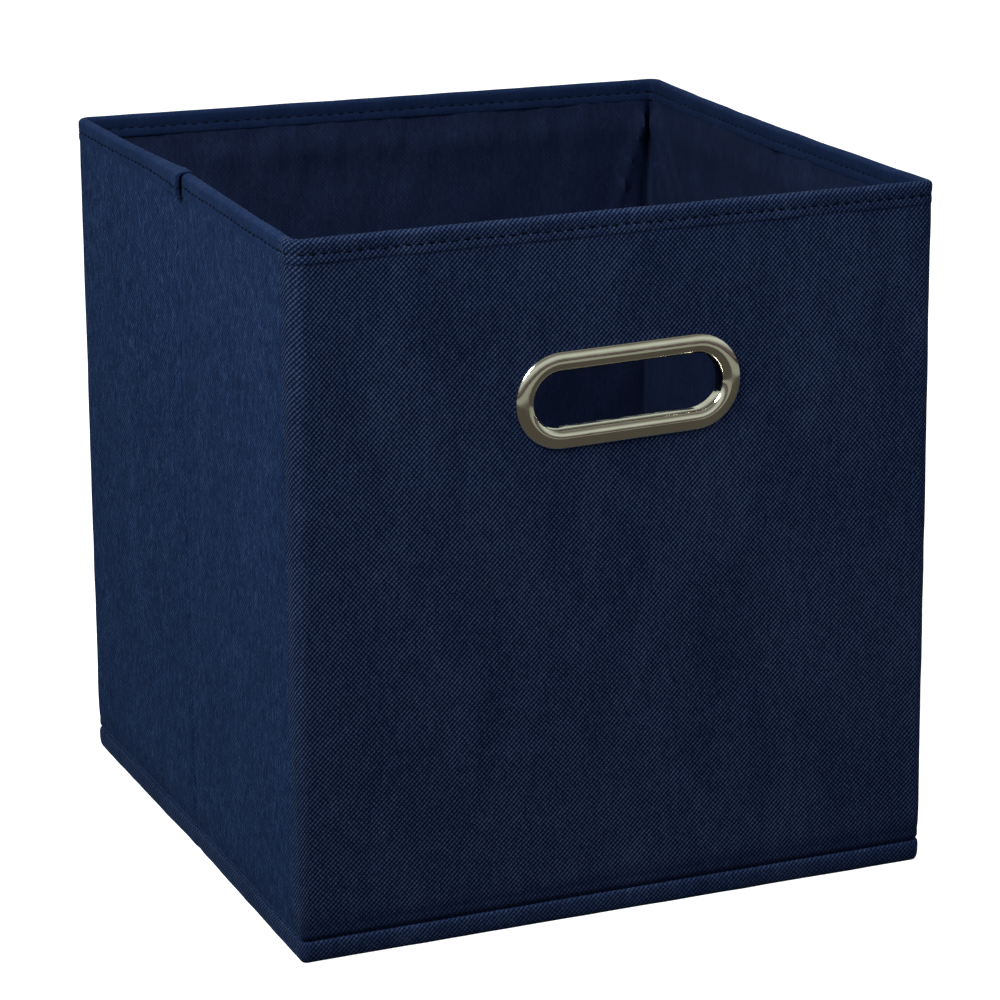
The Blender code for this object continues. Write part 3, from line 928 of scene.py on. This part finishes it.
class Look(Nodes):
    """A node material with a Principled shader."""

    def __init__(self, name):
        self.material = bpy.data.materials.new(name)
        self.material.use_nodes = True
        super().__init__(self.material.node_tree)
        self.shader = self.add("ShaderNodeBsdfPrincipled")
        self.output = self.add("ShaderNodeOutputMaterial")
        self.join(self.shader.outputs["BSDF"], self.output.inputs["Surface"])

    def finished(self, values):
        self.feed(self.shader, values)
        return self.material

    def cloth_uv(self):
        return self.add("ShaderNodeUVMap", uv_map="cloth").outputs["UV"]

    def place(self):
        return self.add("ShaderNodeTexCoord").outputs["Object"]

    def math(self, operation, a, b=0.0, clamp=False):
        node = self.add("ShaderNodeMath", operation=operation, use_clamp=clamp)
        self.feed(node, {0: a, 1: b})
        return node.outputs[0]

    def plus(self, a, b):
        return self.math("ADD", a, b)

    def times(self, a, b):
        return self.math("MULTIPLY", a, b)

    def around_zero(self, noise, size):
        """A noise from 0 to 1, moved to run about 0 and scaled."""
        return self.times(self.math("SUBTRACT", noise, 0.5), size)

    def noise(self, vector, scale, detail=3.0, roughness=0.55, distortion=0.0):
        node = self.add("ShaderNodeTexNoise")
        self.feed(node, {"Vector": vector, "Scale": scale, "Detail": detail})
        self.feed(node, {"Roughness": roughness, "Distortion": distortion})
        return node.outputs["Fac"]

    def scaled(self, vector, scale):
        node = self.add("ShaderNodeMapping")
        self.feed(node, {"Vector": vector, "Scale": scale})
        return node.outputs["Vector"]

    def ramp(self, value, low, high, to_low=0.0, to_high=1.0):
        node = self.add("ShaderNodeMapRange", interpolation_type="SMOOTHSTEP")
        self.feed(node, {0: value, 1: low, 2: high, 3: to_low, 4: to_high})
        return node.outputs[0]

    def mix(self, share, a, b):
        node = self.add("ShaderNodeMix", data_type="RGBA")
        self.feed(node, {0: share, 6: a, 7: b})
        return node.outputs[2]

    def bump(self, height, distance, strength):
        node = self.add("ShaderNodeBump")
        self.feed(node, {"Height": height, "Distance": distance, "Strength": strength})
        return node.outputs["Normal"]


def rgb(red, green, blue):
    """A display colour, 0 to 255, as linear numbers."""
    linear = []
    for level in (red, green, blue):
        share = level / 255
        linear.append(((share + 0.055) / 1.055) ** 2.4 if level > 10 else share / 12.92)
    return (*linear, 1.0)


DOT_ACROSS = 0.0020  # spacing of the cloth's embossed dots, in m
DOT_UP = 0.00206
HEM_FOLD = 0.0105  # UV height at which the binding turns over the rim, in m
SHEEN_TINT = rgb(100, 148, 225)


def nonwoven(
    name, colours, relief=0.00022, streak=0.5, sheen=0.15, bold=1.0, inside=None, foot=0.0, cloudy=0.45
):
    """Spunbond cloth: a lattice of embossed dots whose diagonals lean one way, and stray fibres.

    colours are in the pits, between the dots and on them. relief is the bump's height in m, bold
    the lattice's strength, and inside the same on the inner side of a strip folded over the rim.
    streak is the strength of its webs of fibres, and cloudy how much it varies over centimetres.
    foot is the strength of the painted shade that darkens the cloth towards its pits down into the seam
    above the welt.
    """
    pit, face, dot = colours
    look = Look(name)
    uv = look.cloth_uv()
    s, z, _ = look.split(uv)
    drift = look.around_zero(look.noise(uv, 210.0, 2.0), 2.2)
    across = look.plus(look.times(s, 2 * math.pi / DOT_ACROSS), drift)
    up = look.plus(look.times(z, 2 * math.pi / DOT_UP), drift)
    strong = look.math("SINE", look.math("SUBTRACT", across, up))
    weak = look.math("SINE", look.plus(across, up))
    lattice = look.plus(look.times(strong, 0.7), look.times(weak, 0.3))
    if inside is not None:
        lattice = look.times(lattice, look.ramp(z, HEM_FOLD, HEM_FOLD + 0.003, 1.0, inside))
    fibres = look.noise(look.scaled(uv, (1.0, 0.45, 1.0)), 2600.0, 3.0, 0.7, 0.6)
    webs = look.noise(look.scaled(uv, (1.0, 0.3, 1.0)), 700.0, 4.0, 0.65, 1.2)
    clouds = look.noise(look.scaled(uv, (1.0, 0.35, 1.0)), 42.0, 4.0, 0.6, 0.8)
    tone = look.plus(look.around_zero(webs, 1.7 * streak), look.around_zero(clouds, cloudy))
    tone = look.plus(tone, look.around_zero(fibres, 0.9))
    level = look.plus(look.times(lattice, 0.55 * bold), look.plus(tone, 0.5))
    low = look.mix(look.ramp(level, 0.0, 0.6), pit, face)
    colour = look.mix(look.ramp(level, 0.5, 1.1), low, dot)
    if inside is not None:
        colour = look.mix(look.ramp(z, HEM_FOLD, HEM_FOLD + 0.004, 0.0, 0.5), colour, pit)
    # Painted shade above the welt's seam: the cloth darkens towards its pit colour.
    if foot > 0:
        colour = look.mix(look.ramp(z, 0.0085, 0.022, foot, 0.0), colour, pit)
    height = look.plus(look.times(lattice, 0.5 * bold), look.times(fibres, 0.4))
    height = look.plus(height, look.times(webs, 0.6))
    return look.finished({
        "Base Color": colour,
        "Roughness": look.ramp(level, 0.1, 1.0, 0.85, 0.6),
        "Normal": look.bump(height, relief, 0.9),
        "Specular IOR Level": 0.06,
        "Sheen Weight": sheen,
        "Sheen Roughness": 0.28,
        "Sheen Tint": SHEEN_TINT,
    })


THREAD_LAY = 0.0007  # length of one twist of the thread, in m


def thread_look():
    look = Look("stitch thread")
    along, around, _ = look.split(look.cloth_uv())
    turn = look.times(around, 4 * math.pi)
    twist = look.math("SINE", look.plus(look.times(along, 2 * math.pi / THREAD_LAY), turn))
    shade = look.noise(look.place(), 300.0, 2.0)
    share = look.math("ADD", look.times(twist, 0.3), shade, clamp=True)
    return look.finished({
        "Base Color": look.mix(share, rgb(3, 5, 12), rgb(10, 16, 34)),
        "Roughness": look.ramp(twist, -1.0, 1.0, 0.65, 0.45),
        "Normal": look.bump(twist, 0.00006, 0.8),
        "Specular IOR Level": 0.04,
    })


def chrome_look():
    look = Look("chrome plate")
    place = look.place()
    smears = look.noise(place, 130.0, 4.0, 0.6, 0.4)
    waviness = look.noise(place, 90.0, 2.0)
    scratches = look.noise(look.scaled(place, (30.0, 600.0, 900.0)), 4.0, 3.0, 0.6)
    height = look.plus(waviness, look.times(scratches, 0.02))
    return look.finished({
        "Base Color": look.mix(smears, rgb(206, 202, 190), rgb(232, 229, 220)),
        "Metallic": 1.0,
        "Roughness": look.ramp(look.plus(smears, scratches), 0.6, 1.4, 0.05, 0.14),
        "Normal": look.bump(height, 0.00022, 0.6),
    })


def chipboard_look():
    look = Look("grey chipboard")
    place = look.place()
    flecks = look.noise(look.scaled(place, (1.0, 1.0, 0.4)), 900.0, 5.0, 0.7, 0.5)
    clouds = look.noise(place, 40.0, 3.0)
    share = look.math("MULTIPLY", flecks, look.plus(clouds, 0.5), clamp=True)
    return look.finished({
        "Base Color": look.mix(share, rgb(120, 106, 88), rgb(176, 164, 144)),
        "Roughness": look.ramp(flecks, 0.3, 0.7, 0.95, 0.8),
        "Normal": look.bump(flecks, 0.0001, 0.7),
    })


# Colours of each cloth in its pits, between its dots and on them
OUTER = rgb(4, 13, 35), rgb(15, 29, 58), rgb(54, 67, 94)
# Copies for walls other than the front: their lighter faces are painted sheen and side light.
OUTER_RUBBED_PAINTED_SHEEN = rgb(4, 13, 35), rgb(17, 34, 66), rgb(48, 72, 108)
HEM_RUBBED_PAINTED_SHEEN = rgb(8, 18, 40), rgb(17, 34, 66), rgb(42, 60, 92)
WELT = rgb(4, 13, 35), rgb(17, 32, 62), rgb(54, 67, 94)
LINING = rgb(8, 15, 33), rgb(17, 26, 50), rgb(29, 41, 71)
BOTTOM = rgb(4, 9, 22), rgb(13, 24, 46), rgb(30, 44, 72)
INSERT = rgb(6, 11, 27), rgb(13, 23, 47), rgb(26, 39, 70)


def make_looks():
    """Every material by name. The copies with painted sheen are for walls other than the front."""
    rubbed_painted_sheen = {"streak": 1.0, "bold": 0.35, "foot": 0.4, "cloudy": 0.3}
    lining = {"relief": 0.0001, "streak": 0.7, "sheen": 0.05, "bold": 0.2}
    return {
        "outer_fabric": nonwoven("navy outer fabric", OUTER, foot=0.6),
        "outer_fabric_rubbed": nonwoven("navy outer fabric, rubbed", OUTER_RUBBED_PAINTED_SHEEN, **rubbed_painted_sheen),
        "hem": nonwoven("navy binding", OUTER, inside=0.3),
        "hem_rubbed": nonwoven("navy binding, rubbed", HEM_RUBBED_PAINTED_SHEEN, bold=0.3, inside=0.4),
        "welt": nonwoven("navy welt", WELT, bold=0.8),
        "lining": nonwoven("navy lining", LINING, **lining),
        "bottom_fabric": nonwoven("navy bottom fabric", BOTTOM),
        "insert_cover": nonwoven("navy insert cover", INSERT, bold=0.5),
        "thread": thread_look(),
        "chrome": chrome_look(),
        "chipboard": chipboard_look(),
    }


def paint(made, material):
    made.data.materials.clear()
    made.data.materials.append(material)


# ---- studio


WHITE = (1.0, 1.0, 1.0, 1.0)
FLOOR_HALF = 6.0  # half the floor's width, in m
FLOOR_THROWN = (0.1, 0.095, 0.085, 1.0)  # the floor's colour for the light it throws up
# The floor as the metal mirrors it: near the bin, from about 1 m and far off
FLOOR_NEAR = (0.088, 0.08, 0.062, 1.0)
FLOOR_MIDDLE = (0.34, 0.36, 0.29, 1.0)
FLOOR_FAR = (0.05, 0.04, 0.04, 1.0)


def build_stage():
    """A pale floor that shows white, throws up little light and mirrors as a dim room's floor."""
    look = Look("pale floor")
    look.feed(look.shader, {"Base Color": (0.9, 0.9, 0.9, 1.0), "Roughness": 0.9, "Specular IOR Level": 0.1})
    look.feed(look.shader, {"Emission Color": WHITE, "Emission Strength": 0.85})
    dim = look.add("ShaderNodeBsdfDiffuse")
    look.feed(dim, {"Color": FLOOR_THROWN})
    reach = look.add("ShaderNodeVectorMath", operation="LENGTH")
    look.join(look.place(), reach.inputs[0])
    away = reach.outputs["Value"]
    glow = look.mix(look.ramp(away, 0.98, 1.16), FLOOR_NEAR, FLOOR_MIDDLE)
    mirror = look.add("ShaderNodeEmission")
    look.feed(mirror, {"Color": look.mix(look.ramp(away, 2.2, 5.5), glow, FLOOR_FAR)})
    path = look.add("ShaderNodeLightPath").outputs
    thrown = look.mix_shader(path["Is Glossy Ray"], dim.outputs[0], mirror.outputs[0])
    mixed = look.mix_shader(path["Is Camera Ray"], thrown, look.shader.outputs[0])
    look.join(mixed, look.output.inputs["Surface"])
    points = [(x * FLOOR_HALF, y * FLOOR_HALF, 0) for x, y in ((-1, -1), (1, -1), (1, 1), (-1, 1))]
    floor = new_mesh_object("stage_floor", points, [(0, 1, 2, 3)])
    paint(floor, look.material)


LIGHT_TARGET = (0, 0, 0.15)


def area_light(name, place, size, watts, colour):
    """A soft rectangular light that faces the middle of the bin."""
    light = bpy.data.lights.new(name, "AREA")
    light.shape = "RECTANGLE"
    light.size, light.size_y = size
    light.energy = watts
    light.color = colour
    made = bpy.data.objects.new(name, light)
    bpy.context.scene.collection.objects.link(made)
    made.location = place
    aim = Vector(LIGHT_TARGET) - Vector(place)
    made.rotation_mode = "QUATERNION"
    made.rotation_quaternion = aim.to_track_quat("-Z", "Y")
    return made


# Colours of the surroundings from straight down (0) over the horizon (0.5) to straight up (1)
AMBIENT_STOPS = [
    (0.0, (0.08, 0.08, 0.08)),
    (0.48, (0.12, 0.12, 0.13)),
    (0.7, (0.28, 0.29, 0.32)),
    (1.0, (0.55, 0.57, 0.6)),
]
MIRROR_STOPS = [
    (0.0, (0.05, 0.045, 0.035)),
    (0.5, (0.05, 0.04, 0.04)),
    (0.52, (0.30, 0.20, 0.20)),
    (0.54, (0.05, 0.045, 0.04)),
    (0.59, (0.38, 0.41, 0.35)),
    (0.70, (0.68, 0.74, 0.64)),
    (0.82, (0.42, 0.44, 0.38)),
    (0.9, (0.16, 0.15, 0.12)),
    (1.0, (0.3, 0.3, 0.28)),
]


def build_world():
    """White behind the object, which mirrors a room with a dark horizon under a bright band."""
    world = bpy.data.worlds.new("studio")
    bpy.context.scene.world = world
    world.use_nodes = True
    nodes = Nodes(world.node_tree)
    path = nodes.add("ShaderNodeLightPath").outputs
    direction = nodes.split(nodes.add("ShaderNodeTexCoord").outputs["Generated"])
    steepness = nodes.add("ShaderNodeMapRange")
    nodes.feed(steepness, {0: direction[2], 1: -1.0})
    shades = []
    for stops in (AMBIENT_STOPS, MIRROR_STOPS):
        ramp = nodes.add("ShaderNodeValToRGB")
        points = ramp.color_ramp.elements
        while len(points) < len(stops):
            points.new(0.5)
        for point, (at, colour) in zip(points, stops):
            point.position = at
            point.color = (*colour, 1.0)
        nodes.join(steepness.outputs[0], ramp.inputs[0])
        shade = nodes.add("ShaderNodeBackground")
        nodes.join(ramp.outputs[0], shade.inputs["Color"])
        shades.append(shade.outputs[0])
    seen = nodes.add("ShaderNodeBackground")
    nodes.feed(seen, {"Color": WHITE})
    mirrored = nodes.mix_shader(path["Is Glossy Ray"], *shades)
    mixed = nodes.mix_shader(path["Is Camera Ray"], mirrored, seen.outputs[0])
    nodes.join(mixed, nodes.add("ShaderNodeOutputWorld").inputs[0])


def build_camera():
    """A long lens, set in front of the bin, above it and a little to its left."""
    camera = bpy.data.cameras.new("camera")
    camera.lens = 131.055
    camera.sensor_width = 36.0
    camera.clip_start, camera.clip_end = 0.05, 50.0
    made = bpy.data.objects.new("camera", camera)
    bpy.context.scene.collection.objects.link(made)
    right = (0.920443, -0.390877, -0.000485)
    up = (0.110876, 0.259903, 0.959248)
    back = (-0.374822, -0.882987, 0.282565)
    place = (-0.562155, -1.333885, 0.558924)
    rows = [[right[i], up[i], back[i], place[i]] for i in range(3)]
    made.matrix_world = Matrix(rows + [[0, 0, 0, 1]])
    bpy.context.scene.camera = made


# ---- putting it together

bpy.context.scene.view_settings.view_transform = "Standard"
build_camera()
build_stage()
build_world()
area_light("key", (-0.8, -0.38, 0.98), (0.5, 0.5), 17.0, (1.0, 0.99, 0.97))
fill = area_light("fill", (0.35, -0.9, 0.95), (0.8, 0.5), 5.2, (0.95, 0.97, 1.0))
fill.visible_glossy = False

looks = make_looks()
build_cloth(looks)
build_stitches(looks)
build_foot(looks)
build_insert(looks)
build_handle(looks)
